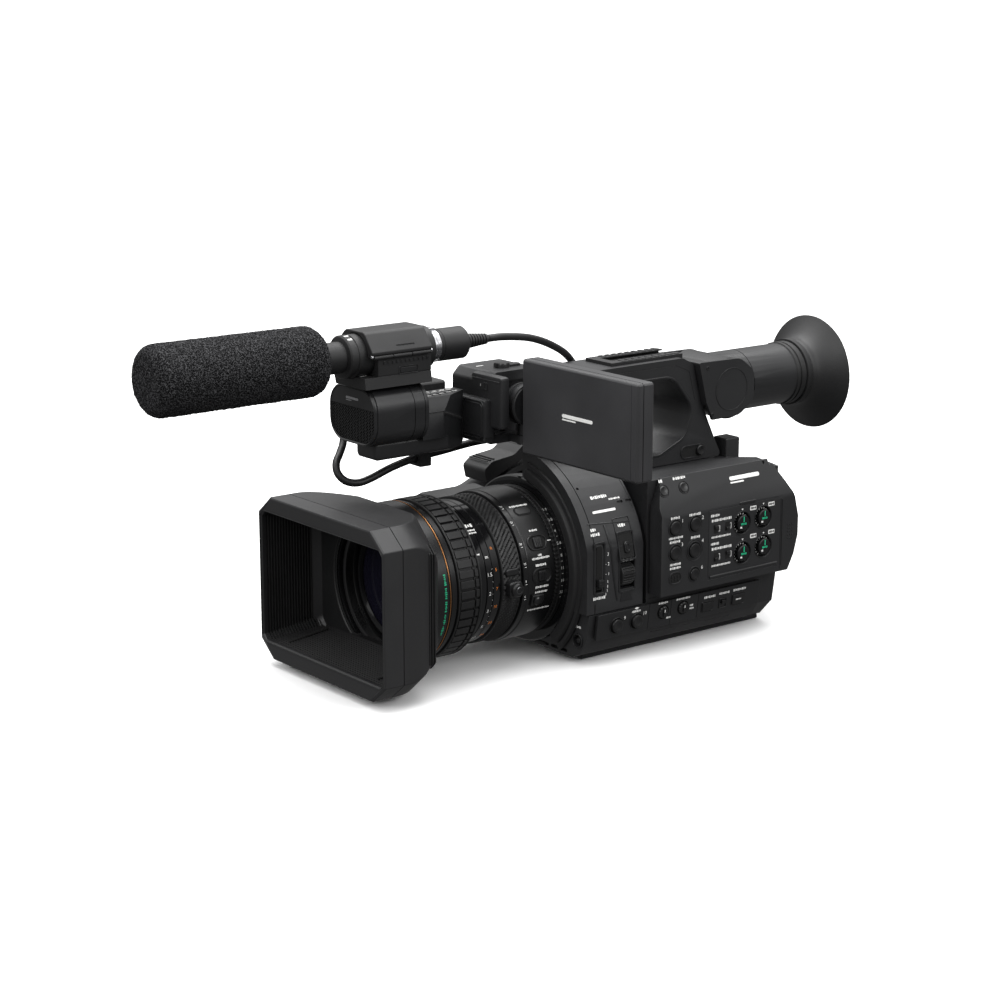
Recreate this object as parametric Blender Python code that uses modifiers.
"""Handheld professional camcorder with a top handle, a shotgun microphone and a swing-out screen.

The frame: the origin is on the underside of the base plate, under the lens axis. -Y is the way
the lens looks, +X is the operator's left side with the controls, and +Z is up. Sizes below are
in millimetres, and every mesh is scaled to metres as it is made.
"""

import math

import bmesh
import bpy
from mathutils import Matrix, Vector

MM = 0.001
GAP = 0.3                      # between pieces that touch on the real object
RING_STEPS = 40                # sides of the lens rings
SMALL_STEPS = 20               # sides of knobs, buttons and plugs
HOOD_STEPS = 48                # points round the hood's outline

# Lens
LENS_Z = 52.0                  # height of the lens axis
HOOD_FRONT = -200.0
HOOD_HALF_WIDTH = 61.6
HOOD_HALF_HEIGHT = 47.8
HOOD_SQUARENESS = (9.0, 2.6)   # superellipse power at its front and at its back
HOOD_STRAIGHT = 13.0           # depth of the hood's straight front part
HOOD_BACK = -155.0
HOOD_BACK_HALF = (50.0, 46.6)
HOOD_WALL = 3.0
CORE_RADIUS = 39.5
RING_BORE = CORE_RADIUS + GAP

# Body
NOSE_FRONT = -62.0
NOSE_BACK = -20.0
NOSE_RADIUS = 67.0
BODY_FRONT = -17.0
BODY_BACK = 76.0
BODY_BOTTOM = 3.3
LEFT_FACE = 64.5
RIGHT_FACE = -50.0
BODY_TOP = 96.5
WALL = 3.0
PANEL_FACE = 75.0              # outer face of the raised audio panel
BUTTON_FOOT = 72.4             # inner end of a numbered button
BUTTON_WELL = 70.8             # floor of the well it presses into
NOSE_FACE = 65.0               # flat on the nose's left side
NOSE_LOW = 31.5                # underside of the nose
MOUNT_BORE = 50.3              # clears the lens mount ring
CORE_CLEARANCE = 41.0          # clears the inner barrel
LEDGE_FACE = 67.0
ND_SLOT = ((61, -55.5, 44), (70, -51.0, 70))
MENU_DIAL_SLOT = ((52.6, -37.5, 43.2), (70, -26.5, 58.8))

# Grip side
GRIP_FACE = -84.0
ROCKER_PIVOT = (-18.0, 92.0)   # Y and Z of the zoom rocker's axis
RECORD_BUTTON = (-70.0, 62.0)  # X and Z of its axis
STRAP_ENDS = (-72.0, 30.0)     # Y of the strap's front and back ends
STRAP_LOW = 30.0
STRAP_HIGH = 66.0
STRAP_BOW = 13.0
STRAP_THICK = 3.0

# Top handle
HANDLE_HALF = 17.0
SHOE_TOP = 162.7

# Screen
LCD_SIZE = (99.0, 12.0, 54.5)
LCD_LEFT = 29.0
LCD_CENTRE = (-75.0, 149.5)    # Y and Z of the screen's tilt axis
SWING_AXIS = (24.0, -75.0)     # X and Y of the screen's vertical hinge

# Viewfinder
VF_AXIS_Z = 138.5
VF_RADIUS = 19.0
VF_PIVOT = (88.0, 138.5)       # Y and Z of its tilt axis

# Microphone
MIC_Z = 184.5
MIC_SLEEVE = 12.0
CLAMP_BACK = -133.5

# Cable from the microphone back to the input on the far side of the mic unit
CABLE_RADIUS = 2.2

GRAPHITE = (0.045, 0.046, 0.050)
BLACK = (0.018, 0.018, 0.019)
RUBBER = (0.012, 0.012, 0.013)
SILVER = (0.70, 0.70, 0.72)
RED = (0.4, 0.02, 0.02)
GLASS = (0.02, 0.03, 0.05)


def clear_scene():
    for obj in list(bpy.data.objects):
        bpy.data.objects.remove(obj, do_unlink=True)


clear_scene()
PARTS = bpy.data.collections.new("camcorder")
CUTTERS = bpy.data.collections.new("cutters")
bpy.context.scene.collection.children.link(PARTS)
bpy.context.scene.collection.children.link(CUTTERS)


def material(name, colour, roughness=0.5, metallic=0.0):
    made = bpy.data.materials.get(name)
    if made is None:
        made = bpy.data.materials.new(name)
        made.use_nodes = True
        shader = made.node_tree.nodes["Principled BSDF"]
        shader.inputs["Base Color"].default_value = (*colour, 1.0)
        shader.inputs["Roughness"].default_value = roughness
        shader.inputs["Metallic"].default_value = metallic
    return made


def finish_object(obj, mat, smooth=True):
    """Gives a new mesh object its material and shading, and puts it among the parts."""
    obj.data.materials.clear()
    obj.data.materials.append(mat)
    if smooth:
        obj.data.shade_smooth()
        obj.data.set_sharp_from_angle(angle=math.radians(30))
    for collection in list(obj.users_collection):
        collection.objects.unlink(obj)
    PARTS.objects.link(obj)
    return obj


def set_origin(obj, x, y, z):
    """Moves the object's origin to a point in millimetres, and leaves its shape where it is."""
    bpy.context.view_layer.update()
    target = Vector((x, y, z)) * MM
    shift = obj.matrix_world.inverted() @ target
    obj.data.transform(Matrix.Translation(-shift))
    obj.matrix_world = obj.matrix_world @ Matrix.Translation(shift)
    return obj


def box(name, low, high, mat, bevel=0.0, segments=2):
    """A box between two corners, with its edges rounded."""
    mesh = bpy.data.meshes.new(name)
    shape = bmesh.new()
    bmesh.ops.create_cube(shape, size=1.0)
    size = [(b - a) * MM for a, b in zip(low, high)]
    bmesh.ops.scale(shape, vec=size, verts=shape.verts)
    shape.to_mesh(mesh)
    shape.free()
    obj = bpy.data.objects.new(name, mesh)
    obj.location = [(a + b) / 2 * MM for a, b in zip(low, high)]
    finish_object(obj, mat)
    if bevel:
        add_bevel(obj, bevel, segments)
    return obj


def add_bevel(obj, width, segments=2, angle=35):
    rounded = obj.modifiers.new("round_edges", "BEVEL")
    rounded.width = width * MM
    rounded.segments = segments
    rounded.limit_method = "ANGLE"
    rounded.angle_limit = math.radians(angle)
    return rounded


TURN = {
    "x": Matrix(((0, 0, 1), (1, 0, 0), (0, 1, 0))),
    "y": Matrix(((1, 0, 0), (0, 0, -1), (0, 1, 0))),
    "z": Matrix.Identity(3),
}


def to_mesh_object(source, name):
    """Makes a mesh object from a curve, with its caps welded on, and removes the curve."""
    bpy.context.view_layer.update()
    graph = bpy.context.evaluated_depsgraph_get()
    mesh = bpy.data.meshes.new_from_object(source.evaluated_get(graph))
    shape = bmesh.new()
    shape.from_mesh(mesh)
    bmesh.ops.remove_doubles(shape, verts=shape.verts, dist=1e-6)
    bmesh.ops.recalc_face_normals(shape, faces=shape.faces)
    shape.to_mesh(mesh)
    shape.free()
    obj = bpy.data.objects.new(name, mesh)
    obj.matrix_world = source.matrix_world
    bpy.data.objects.remove(source, do_unlink=True)
    mesh.name = name
    return obj


def plate(name, outlines, axis, start, end, mat, bevel=0.0):
    """A flat outline pushed from start to end along an axis.

    The outline's points are (y, z) for axis x, (x, z) for axis y and (x, y) for axis z. More
    outlines inside the first one are holes.
    """
    if not isinstance(outlines[0][0], (tuple, list)):
        outlines = [outlines]
    curve = bpy.data.curves.new(name, "CURVE")
    curve.dimensions = "2D"
    curve.fill_mode = "BOTH"
    curve.extrude = abs(end - start) / 2 * MM
    for outline in outlines:
        spline = curve.splines.new("POLY")
        spline.points.add(len(outline) - 1)
        for point, (u, v) in zip(spline.points, outline):
            point.co = (u * MM, v * MM, 0.0, 1.0)
        spline.use_cyclic_u = True
    source = bpy.data.objects.new(name + "_outline", curve)
    middle = (start + end) / 2 * MM
    offset = {"x": (middle, 0, 0), "y": (0, middle, 0), "z": (0, 0, middle)}[axis]
    source.matrix_world = Matrix.Translation(offset) @ TURN[axis].to_4x4()
    PARTS.objects.link(source)
    obj = finish_object(to_mesh_object(source, name), mat)
    if bevel:
        add_bevel(obj, bevel)
    return obj


def rounded(corners, steps=4):
    """An outline from corners (u, v, radius), each turned into an arc of that radius."""
    points = []
    count = len(corners)
    for index, (u, v, radius) in enumerate(corners):
        here = Vector((u, v))
        if radius == 0:
            points.append((u, v))
            continue
        before = (Vector(corners[index - 1][:2]) - here).normalized()
        after = (Vector(corners[(index + 1) % count][:2]) - here).normalized()
        half = before.angle(after) / 2
        reach = radius / math.tan(half)
        centre = here + (before + after).normalized() * (radius / math.sin(half))
        first = here + before * reach - centre
        last = here + after * reach - centre
        sweep = first.angle_signed(last)
        for step in range(steps + 1):
            turn = Matrix.Rotation(-sweep * step / steps, 2)
            points.append(tuple(centre + turn @ first))
    return points


def turned(name, profile, centre, mat, axis="y", steps=RING_STEPS, closed=False):
    """A turned shape. The profile's points are (radius, place along the axis), outer side first.

    It runs from the high end to the low end, and a closed one comes back up its bore.
    """
    mesh = bpy.data.meshes.new(name)
    points = [(radius * MM, 0.0, place * MM) for radius, place in profile]
    edges = [(i, i + 1) for i in range(len(points) - 1)]
    if closed:
        edges.append((len(points) - 1, 0))
    mesh.from_pydata(points, edges, [])
    obj = bpy.data.objects.new(name, mesh)
    facing = {"z": Matrix.Identity(4),
              "y": Matrix.Rotation(math.radians(-90), 4, "X"),
              "x": Matrix.Rotation(math.radians(90), 4, "Y")}[axis]
    obj.matrix_world = Matrix.Translation([c * MM for c in centre]) @ facing
    finish_object(obj, mat, smooth=False)
    screw = obj.modifiers.new("turn", "SCREW")
    screw.axis = "Z"
    screw.steps = steps
    screw.render_steps = steps
    screw.use_merge_vertices = True
    screw.merge_threshold = 0.00001
    screw.use_smooth_shade = True
    return obj


def tube_ring(name, outer, inner, low, high, mat, chamfer=0.6, steps=RING_STEPS):
    """A ring round the lens axis, between two places along Y, with chamfered outer edges."""
    profile = [(inner, high), (outer - chamfer, high), (outer, high - chamfer),
               (outer, low + chamfer), (outer - chamfer, low), (inner, low)]
    return turned(name, profile, (0, 0, LENS_Z), mat, steps=steps, closed=True)


def rod(name, radius, low, high, centre, mat, axis="y", steps=SMALL_STEPS, chamfer=0.0):
    """A round bar or button. centre holds the two other places, and 0 for the axis itself."""
    profile = [(0, high), (radius - chamfer, high)]
    if chamfer:
        profile.append((radius, high - chamfer))
        profile.append((radius, low))
    else:
        profile.append((radius, low))
    profile.append((0, low))
    return turned(name, profile, centre, mat, axis=axis, steps=steps)


def boolean(obj, tool, operation="DIFFERENCE"):
    """Cuts the object with a tool, or joins the tool to it. The tool becomes a hidden helper."""
    step = obj.modifiers.new(operation.lower() + "_" + tool.name, "BOOLEAN")
    step.operation = operation
    step.object = tool
    step.solver = "EXACT"
    tool.hide_render = True
    tool.display_type = "WIRE"
    for collection in list(tool.users_collection):
        collection.objects.unlink(tool)
    CUTTERS.objects.link(tool)
    return obj


def cut(obj, tool):
    return boolean(obj, tool, "DIFFERENCE")


def join(obj, tool):
    return boolean(obj, tool, "UNION")


def hide_tools():
    for tool in CUTTERS.objects:
        tool.hide_set(True)


# ---------------------------------------------------------------- lens and hood

def superellipse(half_width, half_height, power, steps):
    points = []
    for i in range(steps):
        angle = 2 * math.pi * (i + 0.5) / steps - math.pi / 2
        c, s = math.cos(angle), math.sin(angle)
        points.append((math.copysign(abs(c) ** (2 / power), c) * half_width,
                       math.copysign(abs(s) ** (2 / power), s) * half_height))
    return points


def hood_section(share, inset):
    """One section of the hood, from its square front (share 0) to its round back (share 1)."""
    half_width = HOOD_HALF_WIDTH + (HOOD_BACK_HALF[0] - HOOD_HALF_WIDTH) * share - inset
    half_height = HOOD_HALF_HEIGHT + (HOOD_BACK_HALF[1] - HOOD_HALF_HEIGHT) * share - inset
    power = HOOD_SQUARENESS[0] + (HOOD_SQUARENESS[1] - HOOD_SQUARENESS[0]) * share
    return superellipse(half_width, half_height, power, HOOD_STEPS)


def loft(name, sections, mat):
    """A closed skin through rings of points (x, y, z), all with the same count."""
    mesh = bpy.data.meshes.new(name)
    shape = bmesh.new()
    rings = [[shape.verts.new([c * MM for c in point]) for point in ring] for ring in sections]
    count = len(rings[0])
    for near, far in zip(rings, rings[1:]):
        for i in range(count):
            j = (i + 1) % count
            shape.faces.new((near[i], near[j], far[j], far[i]))
    shape.faces.new(list(reversed(rings[0])))
    shape.faces.new(rings[-1])
    bmesh.ops.recalc_face_normals(shape, faces=shape.faces)
    shape.to_mesh(mesh)
    shape.free()
    obj = bpy.data.objects.new(name, mesh)
    return finish_object(obj, mat)


def section_at(share, inset, y):
    return [(x, y, LENS_Z + z) for x, z in hood_section(share, inset)]


def build_hood():
    black = material("hood_plastic", BLACK, 0.55)
    straight_end = HOOD_FRONT + HOOD_STRAIGHT
    bend = straight_end + 0.45 * (HOOD_BACK - straight_end)
    outer = loft("hood_shell", [
        section_at(0.0, 0.0, HOOD_FRONT),
        section_at(0.0, 0.0, straight_end),
        section_at(0.35, 0.0, bend),
        section_at(1.0, 0.0, HOOD_BACK),
    ], black)
    inner = loft("hood_hollow", [
        section_at(0.0, HOOD_WALL, HOOD_FRONT - 2),
        section_at(0.0, HOOD_WALL, straight_end),
        section_at(0.35, HOOD_WALL + 1, bend),
        section_at(1.0, HOOD_WALL + 4, HOOD_BACK - 4),
    ], black)
    cut(outer, inner)
    bore = rod("hood_bore", 45.0, HOOD_BACK - 10, HOOD_BACK + 5, (0, 0, LENS_Z), black,
               steps=RING_STEPS)
    cut(outer, bore)
    rod("hood_lock_knob", 7.5, 0.9, 3.6, (16, -181, 0), material("knob", BLACK, 0.45), axis="z",
        steps=16)


def build_lens():
    black = material("lens_plastic", BLACK, 0.4)
    rubber = material("ring_rubber", RUBBER, 0.75)
    tube_ring("lens_inner_barrel", CORE_RADIUS, 36.0, -158, -24, black)
    front = [(CORE_RADIUS + GAP, -139), (45.4, -139), (45.4, -143), (46.3, -143.6),
             (46.3, HOOD_BACK + 0.4), (44.4, HOOD_BACK + 0.4), (44.4, -160), (RING_BORE, -160)]
    turned("lens_front_barrel", front, (0, 0, LENS_Z), black, closed=True)
    tube_ring("focus_ring", 46.5, RING_BORE, -138.4, -122.4, rubber)
    tube_ring("distance_scale_barrel", 42.0, RING_BORE, -122, -105.8, black)
    zoom = tube_ring("zoom_ring", 43.0, RING_BORE, -105.4, -91.6, rubber)
    join(zoom, box("zoom_ring_lug", (41.5, -103, 45), (50.5, -94, 54), rubber))
    tube_ring("lens_switch_barrel", 44.5, RING_BORE, -91.2, -67.6, black)
    tube_ring("iris_ring", 44.0, RING_BORE, -67.2, -61.2, rubber)
    tube_ring("lens_mount_ring", 49.4, RING_BORE, -60.8, -53.8, black)
    dome = [(0, -141), (35.6, -141), (35.6, -147)]
    for step in range(1, 6):
        angle = math.radians(90 - 18 * step)
        dome.append((35.6 * math.sin(angle), -147 - 5 * (1 - math.sin(angle))))
    dome[-1] = (0, -152)
    glass = material("lens_glass", GLASS, 0.05)
    turned("front_lens_element", dome, (0, 0, LENS_Z), glass, steps=32)


# ---------------------------------------------------------------- body

def side_profile(side):
    """Outline (x, z) of one casing half: side is +1 for the operator's left, -1 for the grip."""
    if side > 0:
        return [(0.2, BODY_BOTTOM), (50, BODY_BOTTOM), (56, 6), (62.3, 16), (LEFT_FACE, 31),
                (LEFT_FACE, 103.6), (46, 102.0), (20, BODY_TOP), (0.2, BODY_TOP)]
    return [(-0.2, BODY_BOTTOM), (-0.2, BODY_TOP), (-20, BODY_TOP), (-44, 99), (RIGHT_FACE, 93),
            (RIGHT_FACE, 11), (-43, BODY_BOTTOM)]


def hollow_profile(side):
    """The space inside one casing half, open towards the other half."""
    if side > 0:
        return [(-2, BODY_BOTTOM + WALL), (49, BODY_BOTTOM + WALL), (59, 18),
                (LEFT_FACE - WALL, 32), (LEFT_FACE - WALL, 93), (-2, 93)]
    return [(2, BODY_BOTTOM + WALL), (2, 93), (-19, 93), (-43, 92), (RIGHT_FACE + WALL, 88),
            (RIGHT_FACE + WALL, 12), (-42, BODY_BOTTOM + WALL)]


def lower_profile(side):
    """Outline (x, z) of the casing's low front, under the lens."""
    if side > 0:
        return [(0.2, BODY_BOTTOM), (50, BODY_BOTTOM), (56, 6), (62.3, 16), (LEFT_FACE, 31.0),
                (0.2, 31.0)]
    return [(-0.2, BODY_BOTTOM), (-0.2, 31.0), (RIGHT_FACE, 31.0), (RIGHT_FACE, 11),
            (-43, BODY_BOTTOM)]


def build_cover(name, side, mat):
    cover = plate(name, side_profile(side), "y", BODY_FRONT, BODY_BACK, mat)
    low = plate(name + "_low_front", lower_profile(side), "y", -60, BODY_FRONT + 1, mat)
    join(cover, low)
    cut(cover, plate(name + "_hollow", hollow_profile(side), "y", BODY_FRONT + WALL,
                     BODY_BACK - WALL, mat))
    cut(cover, rod(name + "_ring_bore", MOUNT_BORE, -64, -53, (0, 0, LENS_Z), mat, steps=RING_STEPS))
    cut(cover, rod(name + "_core_bore", CORE_CLEARANCE, -56, BODY_FRONT - 0.5, (0, 0, LENS_Z), mat,
                   steps=RING_STEPS))
    cut(cover, box(name + "_front_relief", (-24, -64, 0), (24, -53, 14), mat))
    cut(cover, box(name + "_battery_bay", (-24, BODY_BACK - 10, 11), (24, BODY_BACK + 5, 88), mat))
    return cover


def build_nose(mat):
    flat_angle = math.acos(NOSE_FACE / NOSE_RADIUS)
    end_angle = math.pi - flat_angle - 0.35
    outline = [(NOSE_FACE, NOSE_LOW)]
    steps = 28
    for i in range(steps + 1):
        angle = flat_angle + (end_angle - flat_angle) * i / steps
        outline.append((NOSE_RADIUS * math.cos(angle), LENS_Z + NOSE_RADIUS * math.sin(angle)))
    outline.append((-54.0, LENS_Z + 20))
    outline.append((-54.0, NOSE_LOW))
    nose = plate("nose_housing", outline, "y", NOSE_FRONT, NOSE_BACK, mat, bevel=3.0)
    far_wall = [(6, 95), (6, 140), (-80, 140), (-80, 74), (-42, 74)]
    cut(nose, plate("nose_far_front_cut", far_wall, "y", NOSE_FRONT - 4, -44, mat))
    far_ring = [(6, 140), (-80, 140), (-80, 74)]
    for i in range(15):
        angle = math.radians(155.7 - 72.1 * i / 14)
        far_ring.append((53.5 * math.cos(angle), LENS_Z + 53.5 * math.sin(angle)))
    cut(nose, plate("nose_far_cut", far_ring, "y", -44.5, NOSE_BACK + 1, mat))
    cut(nose, rod("nose_bore", MOUNT_BORE, NOSE_FRONT - 5, NOSE_BACK - 4, (0, 0, LENS_Z), mat,
                  steps=RING_STEPS))
    cut(nose, rod("nose_back_bore", CORE_CLEARANCE, NOSE_BACK - 8, NOSE_BACK + 5,
                  (0, 0, LENS_Z), mat, steps=RING_STEPS))
    cut(nose, box("nd_knob_slot", *ND_SLOT, mat))
    cut(nose, box("menu_dial_slot", *MENU_DIAL_SLOT, mat))
    return nose


def build_body():
    shell = material("body_plastic", GRAPHITE, 0.5)
    dark = material("dark_plastic", BLACK, 0.5)
    metal = material("base_metal", (0.08, 0.08, 0.085), 0.45, 0.8)
    build_cover("left_cover", 1, shell)
    build_cover("right_cover", -1, shell)
    build_nose(shell)

    base = box("base_plate", (-42, -52.5, 0), (49, 88, 3), metal, bevel=0.8)
    cut(base, rod("tripod_hole", 4.8, -2, 5, (0, 20, 0), metal, axis="z"))
    cut(base, rod("locating_hole", 2.6, -2, 5, (0, 38, 0), metal, axis="z"))

    rear_outline = [(-48, 6), (-42, 3.4), (50, 3.4), (60, 14), (62.5, 30), (62.5, 98), (44, 100),
                    (20, 96), (-20, 96), (-42, 98), (-48, 92)]
    bay = rounded([(-21.6, 13.4, 2), (21.6, 13.4, 2), (21.6, 84.6, 2), (-21.6, 84.6, 2)], 2)
    rear = plate("rear_panel", [rear_outline, bay], "y", BODY_BACK + GAP, 89, shell)
    join(rear, box("rear_top_block", (8, 86, 94), (20, 97.5, 107.5), shell, bevel=1.0))

    panel_outline = [(-15, 36.5), (86.5, 36.5), (91.5, 46), (94.5, 57), (94.5, 69), (91.5, 81),
                     (85, 92), (77, 104.4), (-9, 104.4), (-15, 89)]
    panel = plate("audio_panel", panel_outline, "x", LEFT_FACE + GAP, PANEL_FACE, shell)
    bevel_cut = plate("panel_bevel_cut", [(PANEL_FACE + 2, 79.4), (PANEL_FACE + 2, 108),
                                          (66.2, 108), (66.2, 104.4)], "y", -20, 100, shell)
    cut(panel, bevel_cut)
    cut(panel, box("panel_back_relief", (60, BODY_BACK + 0.1, 30), (67.5, 89.3, 110), shell))

    ledge_outline = [(62.9, 15.8), (LEFT_FACE + 0.4, 30.8), (LEDGE_FACE, 30.8), (65.0, 15.4)]
    plate("switch_ledge", ledge_outline, "y", -55, 72, dark)
    sockets = [(35, 80, 89), (35, 62, 89), (50, 71, 89)]
    for index, (x, z, y) in enumerate(sockets):
        join(rear, rod("rear_socket_%d" % index, 5.5, y - 1.5, y + 6, (x, 0, z), metal, steps=16))


def build_inside():
    board = material("circuit_board", (0.02, 0.12, 0.05), 0.6)
    metal = material("sensor_metal", (0.4, 0.4, 0.42), 0.4, 0.9)
    box("image_sensor_block", (-18, -12, 34), (18, 6, 70), metal, bevel=1.0)
    box("main_circuit_board", (29, -8, 16), (31, 68, 88), board)


# ---------------------------------------------------------------- controls

BUTTON_PLACES = {
    "assign_button_1": (-4.8, 76.3, 4.2),
    "assign_button_2": (10.8, 76.3, 4.2),
    "assign_button_3": (-4.4, 61.4, 4.2),
    "assign_button_4": (10.4, 60.8, 4.2),
    "assign_button_6": (10.7, 46.4, 3.6),
}
DIAL_PLACES = {
    "audio_dial_1": (48.2, 71.2),
    "audio_dial_2": (65.2, 72.2),
    "audio_dial_3": (48.8, 53.0),
    "audio_dial_4": (65.8, 54.4),
}
LEDGE_BUTTONS = {"assign_button_9": -40.7, "assign_button_10": -25.5}
LEDGE_BUTTON_Z = 22.5


def build_controls():
    rubber = material("button_rubber", BLACK, 0.6)
    dial = material("dial_plastic", BLACK, 0.4)
    panel = bpy.data.objects["audio_panel"]
    for name, (y, z, radius) in BUTTON_PLACES.items():
        cut(panel, rod(name + "_well", radius + GAP, BUTTON_WELL, 80, (0, y, z), rubber, axis="x",
                       steps=16))
        rod(name, radius, BUTTON_FOOT, PANEL_FACE + 1.2, (0, y, z), rubber, axis="x", steps=16,
            chamfer=0.6)
    for name, (y, z) in DIAL_PLACES.items():
        cut(panel, rod(name + "_well", 6.6, 71.8, 80, (0, y, z), dial, axis="x", steps=20))
        rod(name, 6.0, 72.2, PANEL_FACE + 1.6, (0, y, z), dial, axis="x", steps=20, chamfer=0.8)
    ledge = bpy.data.objects["switch_ledge"]
    for name, y in LEDGE_BUTTONS.items():
        cut(ledge, rod(name + "_hole", 4.4, 60, 72, (0, y, LEDGE_BUTTON_Z), rubber, axis="x",
                       steps=16))
        rod(name, 4.0, LEFT_FACE + GAP, LEDGE_FACE + 1.0, (0, y, LEDGE_BUTTON_Z), rubber,
            axis="x", steps=16, chamfer=0.5)
    box("nd_filter_knob", (61.6, -55.1, 47.2), (67.8, -51.4, 52.0), rubber, bevel=0.6)
    rod("menu_dial", 7.2, -37.0, -27.0, (60.2, 0, 51), dial, axis="y", steps=24, chamfer=0.5)


# ---------------------------------------------------------------- grip side

def build_grip():
    shell = material("body_plastic", GRAPHITE, 0.5)
    leather = material("strap_leather", BLACK, 0.85)
    dark = material("dark_plastic", BLACK, 0.5)
    outline = rounded([(-84, 18, 10), (34, 14, 14), (40, 60, 20), (26, 97, 10), (-2, 93.5, 0),
                       (-40, 78, 0), (-82, 68, 14)], 3)
    grip = plate("grip_shell", outline, "x", GRIP_FACE, RIGHT_FACE - GAP, shell, bevel=3.0)
    grip.modifiers["round_edges"].angle_limit = math.radians(60)
    cut(grip, box("nose_clearance", (-56, -66, 30), (-40, -16, 120), shell))
    cut(grip, rod("lens_clearance", 54.0, -90, -58, (0, 0, LENS_Z), shell, steps=32))
    button_x, button_z = RECORD_BUTTON
    cut(grip, rod("record_well", 7.6, 33.5, 60, (button_x, 0, button_z), shell, axis="y"))
    rod("record_button", 7.0, 35.6, 42.5, (button_x, 0, button_z),
        material("record_red", RED, 0.5), axis="y", chamfer=0.8)

    pivot_y, pivot_z = ROCKER_PIVOT
    rocker_side = rounded([(-37, 82.6, 0), (-3, 96.4, 0), (2, 101.5, 3), (-2, 108, 3),
                           (-16, 97.5, 8), (-33, 95.5, 4), (-39, 91, 3)], 3)
    rocker = plate("zoom_rocker", rocker_side, "x", -82, -60, dark, bevel=0.8)
    join(rocker, box("rocker_stem", (-74, pivot_y - 3, 80), (-68, pivot_y + 3, 94), dark))
    cut(grip, box("rocker_well", (-76, pivot_y - 6, 76), (-66, pivot_y + 6, 98), shell))
    set_origin(rocker, -71, pivot_y, pivot_z)

    strap_band(leather)
    servo_outline = [(-49.8, 60), (-25.6, 60), (-25.6, 89.5), (-38, 90.5), (-47, 86), (-49.8, 80)]
    servo = plate("lens_servo_housing", servo_outline, "y", -104, NOSE_FRONT - GAP, dark,
                  bevel=2.0)
    cut(servo, rod("servo_clearance", 45.2, -110, -55, (0, 0, LENS_Z), dark, steps=RING_STEPS))


def strap_band(mat):
    """The hand strap: a band that bows out from the grip, with room for a hand behind it."""
    front_y, back_y = STRAP_ENDS
    middle = (front_y + back_y) / 2
    half = (back_y - front_y) / 2
    inner = []
    outer = []
    steps = 12
    for i in range(steps + 1):
        along = -1 + 2 * i / steps
        bow = STRAP_BOW * (1 - along ** 2) ** 0.7
        inner.append((GRIP_FACE - GAP - bow, middle + half * along))
        outer.append((GRIP_FACE - GAP - STRAP_THICK - bow, middle + half * along))
    plate("hand_strap", inner + list(reversed(outer)), "z", STRAP_LOW, STRAP_HIGH, mat)


# ---------------------------------------------------------------- handle and what it carries

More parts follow.
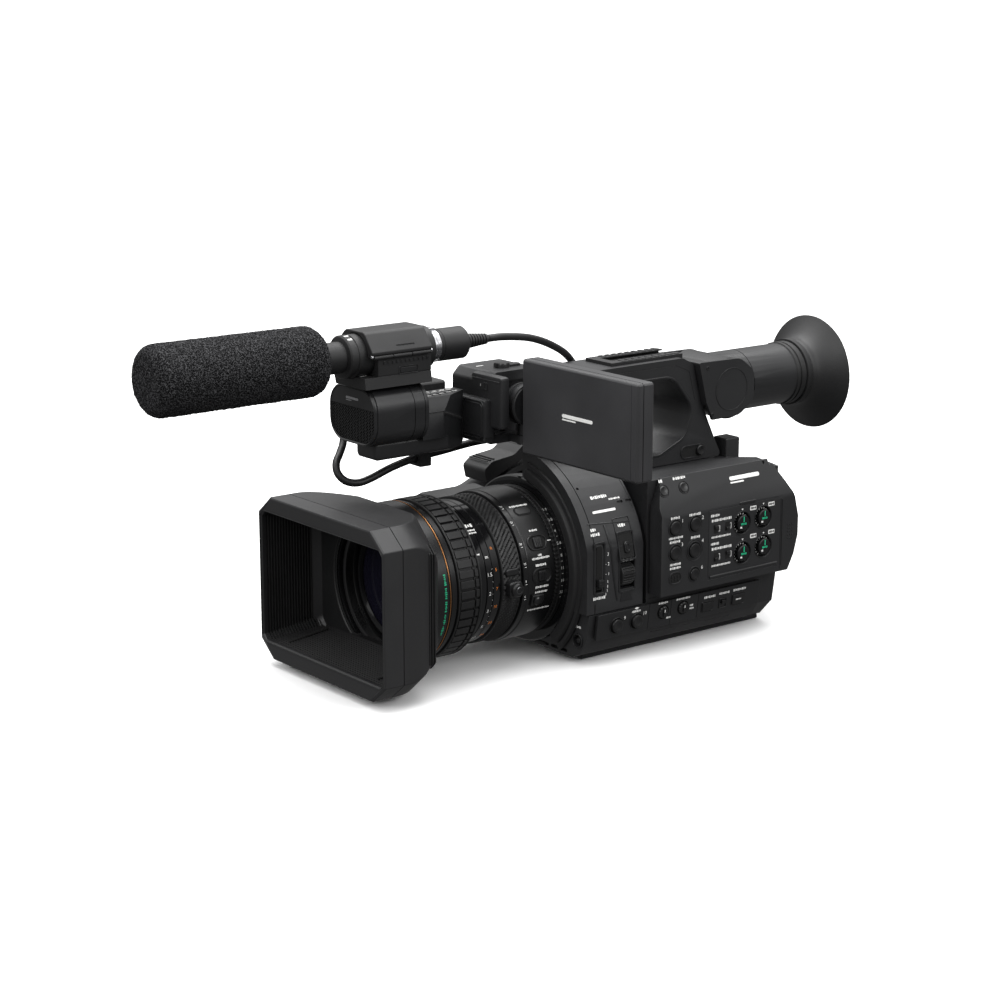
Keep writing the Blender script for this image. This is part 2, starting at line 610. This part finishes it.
def build_handle():
    shell = material("handle_plastic", GRAPHITE, 0.5)
    dark = material("dark_plastic", BLACK, 0.5)
    outline = rounded([(-95, 135, 3), (-95, 163, 3), (-90, 168, 3), (-60, 168, 4), (-52, 160.5, 4),
                       (52, 160.8, 6), (60.5, 156, 4), (66.8, 133.5, 0), (79.5, 107, 0),
                       (84.8, 97, 2), (-15.5, 97, 0), (-18, 119.6, 0), (-48, 119.6, 3),
                       (-56, 135, 3)], 3)
    opening = rounded([(-36, 149.5, 8), (44, 149.5, 14), (59.5, 130, 10), (54, 113, 10),
                       (34, 104.5, 4), (-8, 104.5, 4), (-14, 126, 4), (-36, 128, 6)], 3)
    handle = plate("handle", [outline, opening], "x", -HANDLE_HALF, HANDLE_HALF, shell)
    x, y = SWING_AXIS
    join(handle, box("front_wall", (0, -95, 137), (28.4, -88.4, 167), shell, bevel=2.0))
    join(handle, box("front_block", (-17, -100, 131), (19, -92, 153.5), shell, bevel=1.5))
    join(handle, box("screen_ear", (HANDLE_HALF - 10, y - 4, 127), (x, y + 4, 137), shell))
    join(handle, rod("screen_ear_end", 4.3, 126.6, 133, (x, y, 0), shell, axis="z", steps=16))
    cut(handle, box("screen_arm_space", (11, y - 13, 131.7), (40, y + 15, 162.5), shell))
    cut(handle, box("shoe_seat", (-12.3, -0.3, SHOE_TOP - 3.3), (12.3, 56.3, 170), shell))
    shoe = box("accessory_shoe", (-12, 0, SHOE_TOP - 3.2), (12, 56, SHOE_TOP), dark)
    cut(shoe, box("shoe_slot", (-9.4, 6, SHOE_TOP - 2.2), (9.4, 57, SHOE_TOP - 0.9), dark))
    cut(shoe, box("shoe_mouth", (-6.2, 6, SHOE_TOP - 1.5), (6.2, 57, SHOE_TOP + 1), dark))

    bracket_side = rounded([(61.0, 157.5, 1), (95, 157, 12), (107, 148, 8), (107, 130, 8),
                            (95, 121.5, 12), (72.9, 121.0, 0), (67.4, 132.5, 0)], 3)
    bracket = plate("viewfinder_bracket", bracket_side, "x", -21.6, 21.6, shell)
    cut(bracket, box("bracket_inside", (-VF_RADIUS - 0.35, 68.6, 110),
                     (VF_RADIUS + 0.35, 120, 170), shell))
    tube = rod("viewfinder_tube", VF_RADIUS, 88, 154, (0, 0, VF_AXIS_Z), shell, steps=32)
    join(tube, rod("viewfinder_hub", 18.8, -VF_RADIUS, VF_RADIUS,
                   (0, VF_PIVOT[0], VF_PIVOT[1]), shell, axis="x", steps=32))
    cut(tube, rod("eyepiece_bore", 13.0, 138, 160, (0, 0, VF_AXIS_Z), shell, steps=24))
    set_origin(tube, 0, *VF_PIVOT)
    glass = material("lens_glass", GLASS, 0.05)
    lens = rod("eyepiece_lens", 12.7, 140, 144, (0, 0, VF_AXIS_Z), glass, steps=24)
    set_origin(lens, 0, *VF_PIVOT)
    cup_rubber = material("eyecup_rubber", RUBBER, 0.8)
    cup = [(14, 154.3), (20.6, 154.3), (20.6, 162), (24, 166), (36, 176), (34.2, 176),
           (22, 168), (14, 166)]
    cup.reverse()
    eyecup = turned("eyecup", cup, (0, 0, VF_AXIS_Z), cup_rubber, steps=32, closed=True)
    set_origin(eyecup, 0, *VF_PIVOT)


def build_screen():
    shell = material("body_plastic", GRAPHITE, 0.5)
    dark = material("dark_plastic", BLACK, 0.5)
    x, y = SWING_AXIS
    tilt_y, tilt_z = LCD_CENTRE
    arm = rod("lcd_arm", 11.5, x - 5, LCD_LEFT - GAP, (0, tilt_y, tilt_z), dark, axis="x",
              steps=28, chamfer=0.8)
    join(arm, rod("arm_post", 4.0, 132, tilt_z, (x, y, 0), dark, axis="z", steps=16))
    set_origin(arm, x, y, tilt_z)
    width, depth, height = LCD_SIZE
    low = (LCD_LEFT, tilt_y - depth / 2, tilt_z - height / 2)
    high = (LCD_LEFT + width, tilt_y + depth / 2, tilt_z + height / 2)
    panel = box("lcd_panel", low, high, shell, bevel=1.5)
    screen_hole = box("screen_recess", (low[0] + 8, high[1] - 1.8, low[2] + 5),
                      (high[0] - 6, high[1] + 3, high[2] - 5), shell)
    cut(panel, screen_hole)
    set_origin(panel, LCD_LEFT, tilt_y, tilt_z)
    glass = material("screen_glass", (0.01, 0.012, 0.015), 0.08)
    screen = box("lcd_screen", (low[0] + 8.3, high[1] - 1.5, low[2] + 5.3),
                 (high[0] - 6.3, high[1] - 0.2, high[2] - 5.3), glass)
    set_origin(screen, LCD_LEFT, tilt_y, tilt_z)


def build_microphone():
    shell = material("body_plastic", GRAPHITE, 0.5)
    dark = material("dark_plastic", BLACK, 0.5)
    outline = rounded([(-27.5, 134, 13), (18, 134, 13), (18, 167.5, 13), (-27.5, 167.5, 13)], 5)
    unit = plate("mic_module_shell", outline, "y", -171.5, -137, shell, bevel=1.0)
    mesh_outline = rounded([(-26, 135.5, 12), (16.5, 135.5, 12), (16.5, 158, 3), (-26, 158, 3)], 5)
    plate("mic_module_grille", mesh_outline, "y", -173.5, -171.8, dark)
    neck_outline = [(-14, 134.5), (13, 134.5), (13, 148), (8, 157), (-9, 157), (-14, 148)]
    join(unit, plate("mic_module_neck", neck_outline, "y", -138, -100.3, shell))
    join(unit, box("mic_module_rail", (-10, -168, 125.6), (10, -100.3, 137), dark, bevel=3.0))
    cut(unit, plate("neck_side_cut", [(16, -129), (16, -98), (0, -98), (0, -101)], "z", 120, 160,
                    shell))
    base = plate("mic_clamp_base", rounded([(-15, 171.9, 3), (15, 171.9, 3), (15, 184.2, 0),
                                            (-15, 184.2, 0)], 2), "y", -169, CLAMP_BACK, dark)
    join(base, plate("mic_holder_foot", [(-13, 167.8), (16, 167.8), (15, 174.0), (-15, 174.0)],
                     "y", -178, CLAMP_BACK, dark))
    cut(base, rod("clamp_bore_low", MIC_SLEEVE + GAP, -190, -110, (0, 0, MIC_Z), dark, steps=32))
    lid = plate("mic_clamp_lid", rounded([(-17, 184.8, 0), (17, 184.8, 0), (17, 188, 1),
                                          (9, 198.3, 4), (-9, 198.3, 5), (-17, 191, 2)], 2),
                "y", -174, CLAMP_BACK - 0.5, dark)
    cut(lid, rod("clamp_bore_high", MIC_SLEEVE + GAP, -190, -110, (0, 0, MIC_Z), dark, steps=32))
    cut(lid, box("lid_pin_relief", (13.6, -180, 180), (22, -120, 186.2), dark))
    set_origin(lid, 17, -153, 184.5)
    rod("mic_clamp_knob", 3.6, -22, -15.4, (0, -160, 179), material("knob", BLACK, 0.45), axis="x",
        steps=16, chamfer=0.5)
    body = [(0, -121.5), (9.2, -121.5), (9.2, -127.5), (MIC_SLEEVE, -127.5), (MIC_SLEEVE, -182),
            (8.7, -183), (8.7, -297.5), (0, -297.5)]
    turned("microphone_body", body, (0, 0, MIC_Z), dark, steps=24)
    foam = [(0, -297.9), (9.1, -297.9), (9.1, -198.5), (15, -198.5), (18, -201), (19.4, -206),
            (19.4, -293), (18.4, -299), (15, -303), (8, -304.5), (0, -304.5)]
    turned("mic_windscreen", foam, (0, 0, MIC_Z), material("foam", RUBBER, 1.0), steps=28)


# ---------------------------------------------------------------- audio cable

CABLE_ROUTE = [
    (0, -82.6, 184.5), (-1, -70, 184.0), (-5, -48, 180.5), (-12, -26, 173.0), (-20.5, -6, 162.5),
    (-24, 5, 148.0), (-25.5, 4, 133.0), (-25.5, -8, 123.5), (-25, -30, 119.5), (-23, -56, 119.6),
    (-20, -78, 120.2), (-16.5, -104, 119), (-14.3, -122, 118.3), (-13.6, -140, 115.2),
    (-13.4, -155, 110.8), (-14.2, -163.6, 109.2), (-16.9, -169.8, 110.6), (-20.6, -172.6, 114.8),
    (-24.4, -171, 119.6), (-28, -166.2, 123.8), (-31.4, -161.6, 128.2), (-34.4, -159, 133),
    (-36.7, -158.4, 137.8), (-37.9, -157.4, 142), (-38.2, -155, 145.6), (-38.2, -151.4, 147.6),
    (-38.2, -147.2, 148),
]


def smooth_route(points, spacing):
    """Points along a Catmull-Rom curve through the given ones, evenly spaced."""
    knots = [Vector(p) for p in points]
    knots = [knots[0] * 2 - knots[1]] + knots + [knots[-1] * 2 - knots[-2]]
    fine = []
    for a, b, c, d in zip(knots, knots[1:], knots[2:], knots[3:]):
        for step in range(20):
            t = step / 20
            fine.append(0.5 * (2 * b + (c - a) * t + (2 * a - 5 * b + 4 * c - d) * t ** 2
                               + (3 * b - a - 3 * c + d) * t ** 3))
    fine.append(knots[-2])
    lengths = [0.0]
    for a, b in zip(fine, fine[1:]):
        lengths.append(lengths[-1] + (b - a).length)
    count = max(2, round(lengths[-1] / spacing))
    route = []
    at = 0
    for i in range(count + 1):
        want = lengths[-1] * i / count
        while at < len(fine) - 2 and lengths[at + 1] < want:
            at += 1
        span = lengths[at + 1] - lengths[at]
        route.append(fine[at].lerp(fine[at + 1], (want - lengths[at]) / span))
    return route


def build_cable():
    rubber = material("cable_rubber", RUBBER, 0.6)
    dark = material("dark_plastic", BLACK, 0.5)
    silver = material("plug_metal", SILVER, 0.3, 1.0)
    plug = [(0, -83), (2.6, -83), (4.4, -100), (9.2, -101.5), (9.2, -121.2), (0, -121.2)]
    turned("mic_cable_plug", plug, (0, 0, MIC_Z), dark, steps=20)
    curve = bpy.data.curves.new("mic_cable", "CURVE")
    curve.dimensions = "3D"
    curve.bevel_depth = CABLE_RADIUS * MM
    curve.bevel_resolution = 2
    curve.use_fill_caps = True
    route = smooth_route(CABLE_ROUTE, 3 * CABLE_RADIUS * 2)
    spline = curve.splines.new("POLY")
    spline.points.add(len(route) - 1)
    for point, place in zip(spline.points, route):
        point.co = (*(place * MM), 1.0)
    cable = bpy.data.objects.new("mic_cable", curve)
    curve.materials.append(rubber)
    PARTS.objects.link(cable)
    box("audio_input_box", (-50, -124, 136), (-HANDLE_HALF - GAP, -99, 160), dark, bevel=1.5)
    plug_far = [(0, -124.3), (9.2, -124.3), (9.2, -139), (4.4, -140.5), (2.6, -146.0), (0, -146.0)]
    turned("input_plug", plug_far, (-38.2, 0, 148), silver, steps=20)
    clip = box("cable_clip", (-20.5, -124, 113.4), (-9.0, -116, 125.5), dark, bevel=0.6)
    cut(clip, rod("clip_bore", 3.2, -130, -110, (-14.5, 0, 118.3), dark, steps=16))


def build_power():
    dark = material("dark_plastic", BLACK, 0.5)
    box("battery", (-21, 47, 14), (21, 116, 84), dark, bevel=1.5)


build_hood()
build_lens()
build_body()
build_inside()
build_controls()
build_grip()
build_handle()
build_screen()
build_microphone()
build_cable()
build_power()
hide_tools()
